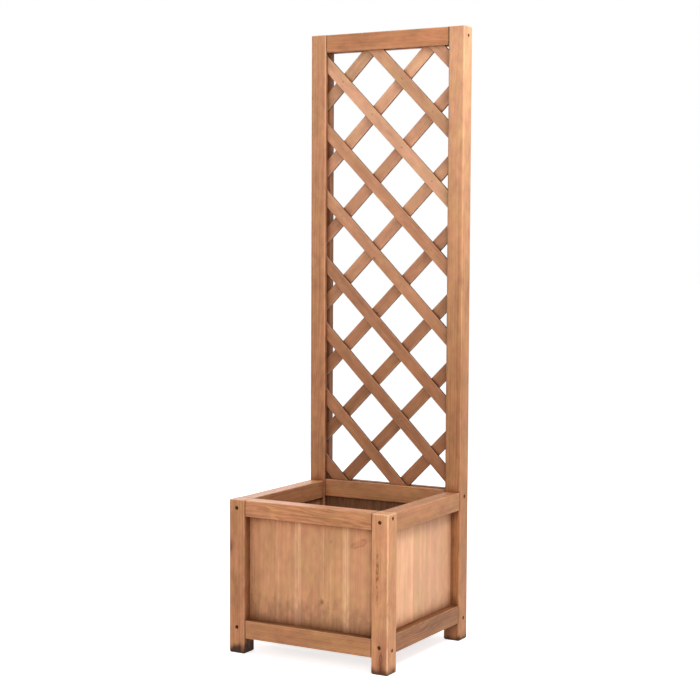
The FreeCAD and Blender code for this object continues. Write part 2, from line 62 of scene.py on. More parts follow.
class Graph:
    """Short ways to add and join shader nodes. Values may be numbers, tuples or sockets."""

    def __init__(self, tree):
        self.tree = tree

    def node(self, kind, **settings):
        node = self.tree.nodes.new(kind)
        for name, value in settings.items():
            setattr(node, name, value)
        return node

    def link(self, source, socket):
        self.tree.links.new(source, socket)

    def put(self, value, socket):
        """Join a socket to a value that may itself be a socket."""
        if isinstance(value, bpy.types.NodeSocket):
            self.link(value, socket)
        else:
            socket.default_value = value

    def math(self, operation, *values, clamp=False):
        node = self.node("ShaderNodeMath", operation=operation, use_clamp=clamp)
        for value, socket in zip(values, node.inputs):
            self.put(value, socket)
        return node.outputs[0]

    def plus(self, first, second):
        return self.math("ADD", first, second)

    def minus(self, first, second):
        return self.math("SUBTRACT", first, second)

    def times(self, first, second):
        return self.math("MULTIPLY", first, second)

    def over(self, first, second):
        return self.math("DIVIDE", first, second)

    def larger(self, first, second):
        return self.math("MAXIMUM", first, second)

    def smaller(self, first, second):
        return self.math("MINIMUM", first, second)

    def absolute(self, value):
        return self.math("ABSOLUTE", value)

    def vector(self, operation, *values):
        node = self.node("ShaderNodeVectorMath", operation=operation)
        for value, socket in zip(values, node.inputs):
            self.put(value, socket)
        return node.outputs["Vector"]

    def length(self, vector):
        node = self.node("ShaderNodeVectorMath", operation="LENGTH")
        self.put(vector, node.inputs[0])
        return node.outputs["Value"]

    def dot(self, first, second):
        node = self.node("ShaderNodeVectorMath", operation="DOT_PRODUCT")
        self.put(first, node.inputs[0])
        self.put(second, node.inputs[1])
        return node.outputs["Value"]

    def scaled(self, vector, factor):
        """A vector or a colour times a number."""
        node = self.node("ShaderNodeVectorMath", operation="SCALE")
        self.put(vector, node.inputs[0])
        self.put(factor, node.inputs["Scale"])
        return node.outputs["Vector"]

    def join(self, x, y, z):
        node = self.node("ShaderNodeCombineXYZ")
        for value, socket in zip((x, y, z), node.inputs):
            self.put(value, socket)
        return node.outputs[0]

    def split(self, vector):
        node = self.node("ShaderNodeSeparateXYZ")
        self.put(vector, node.inputs[0])
        return node.outputs[0], node.outputs[1], node.outputs[2]

    def noise(self, vector, detail=2.0, roughness=0.5):
        """Smooth noise about 0.5, with features about one unit of the vector across."""
        node = self.node("ShaderNodeTexNoise")
        self.put(vector, node.inputs["Vector"])
        node.inputs["Scale"].default_value = 1.0
        node.inputs["Detail"].default_value = detail
        node.inputs["Roughness"].default_value = roughness
        return node.outputs["Fac"]

    def noise_vector(self, vector, detail):
        """Three smooth noises about 0, as a vector."""
        node = self.node("ShaderNodeTexNoise")
        self.put(vector, node.inputs["Vector"])
        node.inputs["Scale"].default_value = 1.0
        node.inputs["Detail"].default_value = detail
        return self.vector("SUBTRACT", node.outputs["Color"], (0.5, 0.5, 0.5))

    def random(self, value):
        """Three random numbers from 0 to 1 that depend on a number."""
        node = self.node("ShaderNodeTexWhiteNoise", noise_dimensions="1D")
        self.put(value, node.inputs["W"])
        return self.split(node.outputs["Color"])

    def map_range(self, value, start, end, low, high, smooth=False):
        """Go from low to high as a value goes from start to end."""
        node = self.node("ShaderNodeMapRange",
                         interpolation_type="SMOOTHSTEP" if smooth else "LINEAR")
        for number, socket in zip((value, start, end, low, high), node.inputs):
            self.put(number, socket)
        return node.outputs[0]

    def span(self, fraction, low, high):
        """Go from low to high as a fraction goes from 0 to 1."""
        return self.map_range(fraction, 0.0, 1.0, low, high)

    def swing(self, noise, reach, low, high):
        """Go from low to high as noise goes from its middle less a reach to it plus a reach."""
        return self.map_range(noise, 0.5 - reach, 0.5 + reach, low, high)

    def fade(self, value, start, end, low=1.0, high=0.0):
        """Go smoothly from low to high as a value goes from start to end."""
        return self.map_range(value, start, end, low, high, smooth=True)

    def mix(self, factor, first, second):
        node = self.node("ShaderNodeMix", data_type="RGBA", blend_type="MIX")
        self.put(factor, node.inputs[0])
        self.put(first, node.inputs[6])
        self.put(second, node.inputs[7])
        return node.outputs[2]


def new_material(name):
    """A new material and the graph of its nodes."""
    material = bpy.data.materials.new(name)
    material.use_nodes = True
    return material, Graph(material.node_tree)


def dress(node, material):
    """Give a CAD node a material in place of the one it came with."""
    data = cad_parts[node].data
    data.materials.clear()
    data.materials.append(material)


def linear(red, green, blue):
    """A colour given as 0 to 255 display values, as a shader takes it."""
    def channel(value):
        value = value / 255
        return value / 12.92 if value <= 0.04045 else ((value + 0.055) / 1.055) ** 2.4
    return channel(red), channel(green), channel(blue), 1.0


def times_each(colour, red, green, blue):
    """A colour with its channels multiplied."""
    return colour[0] * red, colour[1] * green, colour[2] * blue, 1.0


def number_from(name, count):
    """A whole number below count that depends on a name, and is the same in every run."""
    return zlib.crc32(name.encode()) % count


# ---------------------------------------------------------------- light and floor

WHITE = (1.0, 1.0, 1.0, 1.0)
ROOM_LIGHT = 0.34            # strength of the white room, as the object sees it
LIGHTS_AIM = Vector((0.1, 0.0, 0.9))
KEY_PLACE = Vector((1.2, -0.25, 2.0))
KEY_SIZE = 0.8               # m
KEY_POWER = 25.0             # W
KEY_COLOUR = (1.0, 0.97, 0.93)
FILL_PLACE = Vector((1.0, -1.9, 0.95))
FILL_SIZE = 1.4
FILL_POWER = 18.0
BACK_PLACE = Vector((-1.9, 1.7, 1.5))
BACK_SIZE = 1.6
BACK_POWER = 22.0
SOFT_COLOUR = (1.0, 0.99, 0.98)
FLOOR_COLOUR = (0.90, 0.90, 0.90, 1.0)
FLOOR_GLOW = 0.72            # what the white room adds to the floor as it is seen
FLOOR_SIZE = 60.0            # m
FLOOR_ROUGHNESS = 0.9
FLOOR_SHINE = 0.1


def add_area_light(name, place, size, power, colour):
    """Place a square lamp that faces the object."""
    data = bpy.data.lights.new(name, "AREA")
    data.shape = "SQUARE"
    data.size = size
    data.energy = power
    data.color = colour
    light = bpy.data.objects.new(name, data)
    turn = (place - LIGHTS_AIM).to_track_quat("Z", "Y").to_matrix().to_4x4()
    light.matrix_world = Matrix.Translation(place) @ turn
    bpy.context.scene.collection.objects.link(light)


def is_background_ray(g):
    """1 for rays that show the background: seen, mirrored or through glass."""
    path = g.node("ShaderNodeLightPath").outputs
    seen = g.larger(path["Is Camera Ray"], path["Is Glossy Ray"])
    return g.larger(seen, path["Is Transmission Ray"])


def add_studio():
    """A white room, a key light high on the right, and soft lights in front and behind."""
    world = bpy.data.worlds.new("studio")
    bpy.context.scene.world = world
    world.use_nodes = True
    g = Graph(world.node_tree)
    g.tree.nodes.clear()
    background = g.node("ShaderNodeBackground")
    background.inputs["Color"].default_value = WHITE
    g.link(g.span(is_background_ray(g), ROOM_LIGHT, 1.0), background.inputs["Strength"])
    output = g.node("ShaderNodeOutputWorld")
    g.link(background.outputs[0], output.inputs["Surface"])
    add_area_light("key", KEY_PLACE, KEY_SIZE, KEY_POWER, KEY_COLOUR)
    add_area_light("fill", FILL_PLACE, FILL_SIZE, FILL_POWER, SOFT_COLOUR)
    add_area_light("back", BACK_PLACE, BACK_SIZE, BACK_POWER, SOFT_COLOUR)


def add_floor():
    """A pale floor that looks white and keeps the object's soft shadow."""
    half = FLOOR_SIZE / 2
    mesh = bpy.data.meshes.new("floor")
    mesh.from_pydata([(-half, -half, 0), (half, -half, 0), (half, half, 0), (-half, half, 0)],
                     [], [(0, 1, 2, 3)])
    floor = bpy.data.objects.new("floor", mesh)
    bpy.context.scene.collection.objects.link(floor)
    material, g = new_material("pale_floor")
    shader = g.tree.nodes["Principled BSDF"]
    shader.inputs["Base Color"].default_value = FLOOR_COLOUR
    shader.inputs["Roughness"].default_value = FLOOR_ROUGHNESS
    shader.inputs["Specular IOR Level"].default_value = FLOOR_SHINE
    shader.inputs["Emission Color"].default_value = WHITE
    g.link(g.times(is_background_ray(g), FLOOR_GLOW), shader.inputs["Emission Strength"])
    floor.data.materials.append(material)


# ---------------------------------------------------------------- stained softwood

# All lengths in the softwood are millimetres in the board's own axes: U and V across the
# board and W along its grain, from the middle of the board.
EARLY_WOOD = linear(219, 163, 121)
LATE_WOOD = linear(150, 90, 54)
PALE_WOOD = linear(246, 200, 168)
PALE_LATE_WOOD = times_each(PALE_WOOD, 0.90, 0.79, 0.69)
# pale colour of the arrises, from wear and a painted highlight
WORN_AND_HIGHLIT_WOOD = linear(248, 196, 156)
KNOT_WOOD = linear(112, 54, 28)
LOOP_WOOD = linear(166, 88, 46)
RESIN_WOOD = linear(146, 90, 42)
# dark stain at the ends, and painted shade on edges, inner sides, ledges and inside faces
DARK_STAIN_AND_SHADE = linear(74, 40, 24)
FOOT_STAIN = linear(54, 34, 26)
REDDER = (1.05, 0.94, 0.92)
YELLOWER = (1.01, 1.01, 0.87)
CORNER_SHADE = (0.46, 0.34, 0.24)          # painted shade: how it darkens the wood in the corners

SEED_STEP, STAVE_STEP, SECOND_DRAW = 17.31, 3.7, 91.7    # keep the random draws apart
SEEDS = 997                         # how many different boards there can be
SHIFT_ACROSS = 30.0                 # how far a board's pattern may be shifted, either way
SHIFT_ALONG = 4000.0
JOINT_HALF_WIDTH = 0.9              # of the dark line between two staves
JOINT_DARKNESS = 0.22
MEAN_DEPTH = 0.29                   # share of the late wood's colour all over a board
WANDER_SCALE = (0.003, 0.003, 0.0016)
PITH_WANDER = 22.0                  # how far the pith sways from side to side
UNEVEN_YEARS = 0.9                  # how much wider or narrower a run of years grows
KNOT_SWAY = 8.0                     # how far a knot pushes the rings aside
KNOT_NARROWNESS = -0.15             # how fast that fades away from the knot
KNOT_RINGS = 3.4                    # radians of its fine rings for each millimetre
TOP_LIGHT_FROM = 550.0               # height at which the painted top light begins
TOP_LIGHT_TO = 1300.0
PIN_KNOT_SCALE = (0.021, 0.021, 0.012)
STREAK_STRETCH = 20.0
BAND_HALF_WIDTH = 11.0              # of a band of pale lines
SWIRL_RADIUS = 18.5
SWIRL_STRETCH = 0.36
SWIRL_TILT = -0.38                  # how much the loop leans, for each millimetre across
CORNER_REACH = 32.0                 # how near a neighbour must be to paint shade into a corner
CORNER_SAMPLES = 6
SHINE = 0.22
RELIEF_DEPTH = 0.2
RELIEF_STRENGTH = 0.5
FAR_AWAY = (0.0, 0.0, -9000.0)

# Patterns in the wood: features for each millimetre across the grain and along it, and the
# noise's detail and roughness.
PATTERNS = {
    "band": (0.13, 0.0022, 2.0, 0.5),
    "fibre": (0.4, 0.008, 3.0, 0.6),
    "fine fibre": (2.2, 0.03, 3.0, 0.6),
    "patch": (0.03, 0.011, 3.0, 0.6),
    "blotch": (0.08, 0.045, 3.0, 0.5),
    "ripple": (0.05, 0.009, 2.0, 0.5),
    "streaks": (0.19, 0.0014, 2.0, 0.5),
    "lines": (0.42, 0.0012, 2.0, 0.5),
    "warmth": (0.04, 0.016, 2.0, 0.5),
    "resin": (0.2, 0.11, 2.0, 0.5),
    "sway": (0.09, 0.09, 2.0, 0.5),
    "ragged": (0.3, 0.04, 4.0, 0.65),
    "creep": (0.05, 0.03, 4.0, 0.55),
}

WOOD_INPUTS = [
    ("Place", "NodeSocketVector", (0.0, 0.0, 0.0)),
    ("Half Size", "NodeSocketVector", (18.0, 18.0, 500.0)),
    ("Height", "NodeSocketFloat", 500.0),           # above the ground
    ("Facing", "NodeSocketVector", (0.0, 0.0, 0.0)),    # the surface normal along U, V and W
    ("Seed", "NodeSocketFloat", 0.0),
    ("Ring Width", "NodeSocketFloat", 3.0),
    ("Pith Distance", "NodeSocketFloat", 40.0),
    ("Figure", "NodeSocketFloat", 0.28),            # how strongly the rings show
    ("Waviness", "NodeSocketFloat", 2.2),           # how far the rings sway
    ("Run Out", "NodeSocketFloat", 0.012),          # slope of the rings along the board
    ("Stave Width", "NodeSocketFloat", 10000.0),
    ("Stave Shift", "NodeSocketFloat", 0.0),
    ("Stave Shade Trend", "NodeSocketFloat", 0.0),        # painted shade: how much darker each next stave is
    ("Tone", "NodeSocketFloat", 1.0),
    ("Richness", "NodeSocketFloat", 0.0),           # how much deeper the colour is
    ("Hue", "NodeSocketFloat", 0.0),                # below 0 is redder, above 0 yellower
    ("Unevenness", "NodeSocketFloat", 1.0),         # of the stain
    ("Paleness", "NodeSocketFloat", 0.0),
    ("Pale Top", "NodeSocketFloat", 0.0),           # painted light: paleness that grows towards the top
    ("Pale Streaks", "NodeSocketFloat", 0.0),
    ("Pale Bands", "NodeSocketFloat", 0.0),         # bands of pale lines along the grain
    ("Pale Band", "NodeSocketFloat", 0.0),          # where one of them is, along U
    ("Pale Band Spacing", "NodeSocketFloat", 114.0),
    ("Pin Knots", "NodeSocketFloat", 1.0),
    ("Knot", "NodeSocketVector", FAR_AWAY),
    ("Knot Radius", "NodeSocketFloat", 3.0),
    ("Knot Stretch", "NodeSocketFloat", 1.4),       # length along the grain over the width
    ("Swirl", "NodeSocketVector", FAR_AWAY),        # a faint reddish loop
    ("Streak", "NodeSocketVector", FAR_AWAY),       # of resin, thin and broken
    ("Streak Length", "NodeSocketFloat", 40.0),     # from its middle to either end
    ("Wear", "NodeSocketFloat", 0.32),              # paleness of the arrises, from wear and a painted highlight
    ("Damp", "NodeSocketFloat", 0.0),
    ("Damp Base", "NodeSocketFloat", 0.0),
    ("Damp Rise", "NodeSocketFloat", 20.0),
    ("Edge Stain", "NodeSocketFloat", 0.0),         # dark stain and painted shade on the faces across V
    ("Side Stain", "NodeSocketFloat", 0.0),         # painted shade on the face across U, to the side of its sign
    ("End Stain", "NodeSocketFloat", 0.0),          # at the ends, along W
    ("Ledge Stain", "NodeSocketFloat", 0.0),        # painted shade on faces that look up
    ("Inside Shade", "NodeSocketFloat", 0.0),         # painted shade on faces that look into the box
]
WOOD_OUTPUTS = [
    ("Color", "NodeSocketColor"),
    ("Roughness", "NodeSocketFloat"),
    ("Relief", "NodeSocketFloat"),
]


class Softwood(Graph):
    """Stained softwood as a solid, so that it runs on round the arrises of a board.

    Each method that takes a colour adds one thing to it and gives the new colour.
    """

    def __init__(self, tree):
        super().__init__(tree)
        self.inputs = self.node("NodeGroupInput").outputs
        self.place = self.inputs["Place"]
        self.u, self.v, self.w = self.split(self.place)
        self.find_stave()
        self.find_knot()
        self.find_faces()
        self.late = self.late_wood()
        self.fibre = self.pattern("fibre")
        self.fine = self.pattern("fine fibre")
        self.blotch = self.pattern("blotch")
        self.ragged = self.pattern("ragged")

    def pattern(self, name):
        """A noise that is drawn out along the grain."""
        across, along, detail, roughness = PATTERNS[name]
        place = self.place if name in ("resin", "sway") else self.local
        return self.noise(self.vector("MULTIPLY", place, (across, across, along)),
                          detail, roughness)

    def find_stave(self):
        """Each stave of a glued panel comes from another board. Other pieces are one stave."""
        width = self.inputs["Stave Width"]
        stave = self.over(self.minus(self.u, self.inputs["Stave Shift"]), width)
        self.stave = self.math("ROUND", stave)
        off_middle = self.absolute(self.minus(stave, self.stave))
        self.to_joint = self.times(self.minus(0.5, off_middle), width)
        self.joint = self.fade(self.to_joint, 0.1, JOINT_HALF_WIDTH)
        draw = self.plus(self.times(self.inputs["Seed"], SEED_STEP),
                         self.times(self.stave, STAVE_STEP))
        u_draw, v_draw, w_draw = self.random(draw)
        self.tone_draw, self.hue_draw, self.pale_draw = self.random(self.plus(draw, SECOND_DRAW))
        shift = self.join(self.span(u_draw, -SHIFT_ACROSS, SHIFT_ACROSS),
                          self.times(self.inputs["Pith Distance"], self.span(v_draw, 0.6, 1.5)),
                          self.span(w_draw, -SHIFT_ALONG, SHIFT_ALONG))
        self.local = self.vector("ADD", self.place, shift)

    def ellipsoid_reach(self, place, middle, stretch, wobble):
        """Distance from a point, in mm across the grain, shrunk along the grain."""
        squeeze = self.join(1.0, 1.0, self.over(1.0, stretch))
        offset = self.vector("MULTIPLY", self.vector("SUBTRACT", place, middle), squeeze)
        rough = self.noise(self.scaled(self.vector("MULTIPLY", place, squeeze), 0.25))
        return self.times(self.length(offset), self.span(rough, 1.0 - wobble, 1.0 + wobble))

    def find_knot(self):
        """How far the knot is, in mm and in its own radii."""
        self.knot_distance = self.ellipsoid_reach(
            self.place, self.inputs["Knot"], self.inputs["Knot Stretch"], 0.3)
        self.knot_reach = self.over(self.knot_distance, self.inputs["Knot Radius"])

    def find_faces(self):
        """Near an edge of a board, the second smallest distance to its faces is small."""
        half_u, half_v, half_w = self.split(self.inputs["Half Size"])
        from_u = self.minus(half_u, self.absolute(self.u))
        from_v = self.minus(half_v, self.absolute(self.v))
        self.from_end = self.minus(half_w, self.absolute(self.w))
        least = self.smaller(from_u, from_v)
        most = self.larger(from_u, from_v)
        self.to_arris = self.larger(least, self.smaller(most, self.from_end))

    def late_wood(self):
        """Dark late wood of the growth rings about a pith that wanders beside the board."""
        slow = self.vector("MULTIPLY", self.local, WANDER_SCALE)
        wander = self.vector("MULTIPLY", self.noise_vector(slow, detail=1.0),
                             (PITH_WANDER, PITH_WANDER, 0.0))
        ring_u, ring_v, _ = self.split(self.vector("ADD", self.local, wander))
        ring_v = self.plus(ring_v, self.times(self.w, self.inputs["Run Out"]))
        radius = self.length(self.join(ring_u, ring_v, 0.0))
        ripple = self.swing(self.pattern("ripple"), 0.5, -1.0, 1.0)
        radius = self.plus(radius, self.times(ripple, self.inputs["Waviness"]))
        reach_squared = self.times(self.knot_reach, self.knot_reach)
        knot_nearness = self.math("EXPONENT", self.times(reach_squared, KNOT_NARROWNESS))
        radius = self.plus(radius, self.times(knot_nearness, KNOT_SWAY))
        years = self.over(radius, self.inputs["Ring Width"])
        uneven = self.noise(self.join(self.times(years, 0.23), self.inputs["Seed"], 0.0))
        years = self.plus(years, self.swing(uneven, 0.5, -UNEVEN_YEARS, UNEVEN_YEARS))
        season = self.math("FRACT", years)
        late = self.times(self.fade(season, 0.1, 0.85, 0.0, 1.0), self.fade(season, 0.88, 1.0))
        year_draw = self.random(self.math("FLOOR", years))[0]
        return self.times(late, self.span(year_draw, 0.3, 1.0))

    def grain(self):
        """Growth rings and fibres, under a stain that lies in soft broad patches."""
        figure = self.times(self.late, self.inputs["Figure"])
        figure = self.plus(figure, self.swing(self.fibre, 0.25, -0.03, 0.08))
        self.figure = self.plus(figure, self.swing(self.pattern("band"), 0.2, -0.10, 0.12))
        depth = self.plus(self.inputs["Richness"], MEAN_DEPTH)
        colour = self.mix(self.math("ADD", self.figure, depth, clamp=True), EARLY_WOOD, LATE_WOOD)
        uneven = self.plus(self.swing(self.pattern("patch"), 0.25, 0.19, -0.19),
                           self.swing(self.blotch, 0.25, 0.12, -0.12))
        uneven = self.times(uneven, self.inputs["Unevenness"])
        shade = self.times(self.swing(self.fine, 0.3, 1.035, 0.965), self.plus(uneven, 1.0))
        shade = self.times(shade, self.span(self.tone_draw, 0.90, 1.10))
        # painted shade: each next stave is a little darker
        trend = self.times(self.stave, self.inputs["Stave Shade Trend"])
        self.shade = self.times(shade, self.minus(1.0, trend))
        return self.scaled(colour, self.times(self.shade, self.inputs["Tone"]))

    def pale_wood(self, colour):
        """Pale sapwood all over a board or in streaks and bands along it, and painted light that
        pales a board towards its top.
        """
        depth = self.map_range(self.figure, -0.25, 0.75, 0.0, 1.0)
        pale = self.mix(depth, PALE_WOOD, PALE_LATE_WOOD)
        pale = self.scaled(pale, self.shade)
        # painted light: the board grows paler towards its top
        top_light = self.map_range(self.inputs["Height"], TOP_LIGHT_FROM, TOP_LIGHT_TO, 0.0, 1.0)
        top_light = self.times(top_light, self.inputs["Pale Top"])
        colour = self.mix(self.plus(self.inputs["Paleness"], top_light), colour, pale)
        streaks = self.fade(self.pattern("streaks"), 0.56, 0.68, 0.0, 0.75)
        streaks = self.times(streaks, self.map_range(self.pale_draw, 0.2, 0.9, 0.4, 1.0))
        streaks = self.times(streaks, self.fade(self.to_joint, 4.0, 16.0, 1.0, 0.3))
        colour = self.mix(self.times(streaks, self.inputs["Pale Streaks"]), colour, pale)
        half_spacing = self.times(self.inputs["Pale Band Spacing"], 0.5)
        off_band = self.minus(self.u, self.inputs["Pale Band"])
        from_band = self.math("PINGPONG", off_band, half_spacing)
        bands = self.times(self.fade(from_band, 1.0, BAND_HALF_WIDTH),
                           self.fade(self.pattern("lines"), 0.42, 0.58, 0.15, 0.9))
        return self.mix(self.times(bands, self.inputs["Pale Bands"]), colour, pale)

    def hue(self, colour):
        """Some parts of a board are redder and some yellower."""
        warmth = self.plus(self.pattern("warmth"), self.span(self.hue_draw, -0.09, 0.09))
        warmth = self.plus(warmth, self.swing(self.blotch, 0.25, 0.08, -0.08))
        warmth = self.plus(warmth, self.inputs["Hue"])
        return self.mix(self.map_range(warmth, 0.32, 0.68, 0.0, 1.0),
                        self.vector("MULTIPLY", colour, REDDER),
                        self.vector("MULTIPLY", colour, YELLOWER))

    def knot(self, colour):
        """A knot has a dark heart, fine rings and a reddish halo."""
        rings = self.math("SINE", self.times(self.knot_distance, KNOT_RINGS))
        heart = self.times(self.fade(self.knot_reach, 0.7, 1.1),
                           self.map_range(rings, -1.0, 1.0, 0.55, 0.85))
        halo = self.fade(self.knot_reach, 0.9, 2.6, 0.38, 0.0)
        return self.mix(self.larger(heart, halo), colour, KNOT_WOOD)

    def resin_streak(self, colour):
        """A resin streak is thin and broken, and fades out at its ends."""
        streak = self.ellipsoid_reach(self.place, self.inputs["Streak"], STREAK_STRETCH, 0.6)
        streak = self.fade(streak, 1.2, 4.4, 0.85, 0.0)
        along = self.absolute(self.minus(self.w, self.split(self.inputs["Streak"])[2]))
        ends = self.fade(self.over(along, self.inputs["Streak Length"]), 0.6, 1.0)
        streak = self.times(self.times(streak, ends),
                            self.fade(self.pattern("resin"), 0.42, 0.6, 0.22, 1.0))
        return self.mix(streak, colour, RESIN_WOOD)

    def pin_knots(self, colour):
        """Small dark spots, scattered."""
        node = self.node("ShaderNodeTexVoronoi")
        seed = self.inputs["Seed"]
        spread = self.vector("MULTIPLY", self.place, PIN_KNOT_SCALE)
        self.link(self.vector("ADD", spread, self.join(seed, seed, seed)), node.inputs["Vector"])
        node.inputs["Scale"].default_value = 1.0
        size_draw, dark_draw, _ = self.split(node.outputs["Color"])
        size = self.map_range(size_draw, 0.45, 1.0, 0.0, 0.075)
        spot = self.fade(node.outputs["Distance"], self.times(size, 0.4), size)
        spot = self.times(spot, self.span(dark_draw, 0.25, 0.8))
        return self.mix(self.times(spot, self.inputs["Pin Knots"]), colour, KNOT_WOOD)

    def swirl(self, colour):
        """A faint reddish loop, uneven and tilted, and fainter inside."""
        middle = self.inputs["Swirl"]
        drop = self.times(self.minus(self.u, self.split(middle)[0]), SWIRL_TILT)
        tilted = self.vector("ADD", self.place, self.join(0.0, 0.0, drop))
        reach = self.ellipsoid_reach(tilted, middle, SWIRL_STRETCH, 0.2)
        reach = self.plus(reach, self.swing(self.pattern("sway"), 0.3, -6.0, 6.0))
        loop = self.fade(self.absolute(self.minus(reach, SWIRL_RADIUS)), 0.0, 6.0, 0.6, 0.0)
        loop = self.times(loop, self.fade(self.blotch, 0.38, 0.56, 0.35, 1.0))
        inside = self.fade(reach, 16.0, 28.0, 0.24, 0.0)
        return self.mix(self.larger(loop, inside), colour, LOOP_WOOD)

    def joints(self, colour):
        """A thin dark line between the staves of a panel."""
        return self.mix(self.times(self.joint, JOINT_DARKNESS), colour, LATE_WOOD)

    def wear(self, colour):
        """Arrises are pale from wear, and paler still as a painted highlight."""
        reach = self.times(self.swing(self.ragged, 0.2, 0.3, 3.8),
                           self.plus(self.inputs["Wear"], 0.7))
        pale_arris = self.fade(self.to_arris, 0.0, reach)
        return self.mix(self.times(pale_arris, self.inputs["Wear"]), colour, WORN_AND_HIGHLIT_WOOD)

    def dark_stain_and_shade(self, colour):
        """Ends have taken more of the dark stain. Edges get dark stain and painted shade, and inner
        sides, ledges and the inside of the box get painted shade.
        """
        facing_u, facing_v, _ = self.split(self.inputs["Facing"])
        edge = self.times(self.fade(self.absolute(facing_v), 0.45, 0.85, 0.0, 1.0),
                          self.inputs["Edge Stain"])
        side = self.times(self.fade(self.absolute(facing_u), 0.6, 0.9, 0.0, 1.0),
                          self.math("SIGN", facing_u))
        self.side = self.times(side, self.inputs["Side Stain"])
        end = self.times(self.fade(self.from_end, 0.5, 2.2), self.inputs["End Stain"])
        geometry = self.node("ShaderNodeNewGeometry").outputs
        facing_up = self.split(geometry["Normal"])[2]
        ledge = self.times(self.fade(facing_up, 0.5, 0.9, 0.0, 1.0), self.inputs["Ledge Stain"])
        level_place = self.vector("MULTIPLY", geometry["Position"], (1.0, 1.0, 0.0))
        outwards = self.vector("NORMALIZE", level_place)
        inwards = self.times(self.dot(outwards, geometry["Normal"]), -1.0)
        inward_shade = self.times(self.fade(inwards, 0.3, 0.6, 0.0, 1.0), self.inputs["Inside Shade"])
        stain = self.larger(self.larger(self.larger(edge, self.side), end),
                            self.larger(ledge, inward_shade))
        stain = self.times(stain, self.swing(self.ragged, 0.2, 1.0, 0.7))
        return self.mix(stain, colour, DARK_STAIN_AND_SHADE)

    def damp(self, colour):
        """Damp has darkened the foot of the piece unevenly; on a side with painted shade it reaches
        higher, as more painted shade.
        """
        level = self.over(self.minus(self.inputs["Height"], self.inputs["Damp Base"]),
                          self.inputs["Damp Rise"])
        level = self.minus(level, self.swing(self.pattern("creep"), 0.2, -0.5, 0.6))
        level = self.minus(level, self.times(self.larger(self.side, 0.0), 0.9))
        return self.mix(self.times(self.fade(level, 0.0, 0.9), self.inputs["Damp"]),
                        colour, FOOT_STAIN)

    def corners(self, colour):
        """Painted shade darkens the corners and recesses between pieces, raggedly."""
        node = self.node("ShaderNodeAmbientOcclusion", samples=CORNER_SAMPLES)
        node.inputs["Distance"].default_value = CORNER_REACH * MM
        openness = self.plus(node.outputs["AO"], self.swing(self.ragged, 0.2, -0.07, 0.07))
        self.hollow = self.fade(openness, 0.40, 0.90)
        return self.mix(self.hollow, colour, self.vector("MULTIPLY", colour, CORNER_SHADE))

    def roughness(self):
        """Late wood is a little smoother, and the corners are duller."""
        rough = self.plus(self.span(self.late, 0.50, 0.44), self.swing(self.fine, 0.3, -0.05, 0.07))
        return self.plus(rough, self.times(self.hollow, 0.2))

    def relief(self):
        """Late wood and fibres stand proud, and the joints of the staves lie low."""
        relief = self.plus(self.times(self.late, 0.4), self.times(self.fibre, 0.9))
        relief = self.plus(relief, self.times(self.fine, 0.35))
        return self.minus(relief, self.times(self.joint, 0.6))


def make_wood_group():
    """The node group of the stained softwood, which every board's material uses."""
    tree = bpy.data.node_groups.new("stained_softwood", "ShaderNodeTree")
    for name, kind, default in WOOD_INPUTS:
        socket = tree.interface.new_socket(name, in_out="INPUT", socket_type=kind)
        socket.default_value = default
    for name, kind in WOOD_OUTPUTS:
        tree.interface.new_socket(name, in_out="OUTPUT", socket_type=kind)
    wood = Softwood(tree)
    colour = wood.grain()
    for step in (wood.pale_wood, wood.hue, wood.knot, wood.resin_streak, wood.pin_knots, wood.swirl,
                 wood.joints, wood.wear, wood.dark_stain_and_shade, wood.damp, wood.corners):
        colour = step(colour)
    output = wood.node("NodeGroupOutput").inputs
    wood.link(colour, output["Color"])
    wood.link(wood.roughness(), output["Roughness"])
    wood.link(wood.relief(), output["Relief"])
    return tree


# ---------------------------------------------------------------- boards


def board_axes(across, along):
    """The axes of a board as the columns of a matrix: U, V and W, which is the grain."""
    along = Vector(along).normalized()
    across = Vector(across).normalized()
    return Matrix((across, along.cross(across), along)).transposed()


def board_extent(node, axes):
    """Middle and half size of a node, measured along the board's axes."""
    points = [axes.transposed() @ vertex.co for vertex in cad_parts[node].data.vertices]
    low = Vector([min(point[k] for point in points) for k in range(3)])
    high = Vector([max(point[k] for point in points) for k in range(3)])
    return axes @ ((low + high) / 2), (high - low) / 2


def add_wood(g, node, axes, marks, looks):
    """Add the softwood group to a board's material, set up for this board."""
    middle, half = board_extent(node, axes)
    coordinates = g.node("ShaderNodeTexCoord").outputs["Object"]
    mapping = g.node("ShaderNodeMapping", vector_type="TEXTURE")
    mapping.inputs["Location"].default_value = middle
    mapping.inputs["Rotation"].default_value = axes.to_euler()
    mapping.inputs["Scale"].default_value = (MM, MM, MM)
    g.link(coordinates, mapping.inputs["Vector"])
    wood = g.node("ShaderNodeGroup", node_tree=WOOD)
    g.link(mapping.outputs[0], wood.inputs["Place"])
    wood.inputs["Half Size"].default_value = half / MM
    wood.inputs["Seed"].default_value = number_from(node, SEEDS)
    g.link(g.split(g.scaled(coordinates, 1 / MM))[2], wood.inputs["Height"])
    normal = g.node("ShaderNodeNewGeometry").outputs["Normal"]
    facing = [g.dot(normal, tuple(axes.col[k])) for k in range(3)]
    g.link(g.join(*facing), wood.inputs["Facing"])
    for name, place in marks.items():
        wood.inputs[name].default_value = axes.transposed() @ (Vector(place) - middle / MM)
    for name, value in looks.items():
        wood.inputs[name.replace("_", " ").title()].default_value = value
    return wood


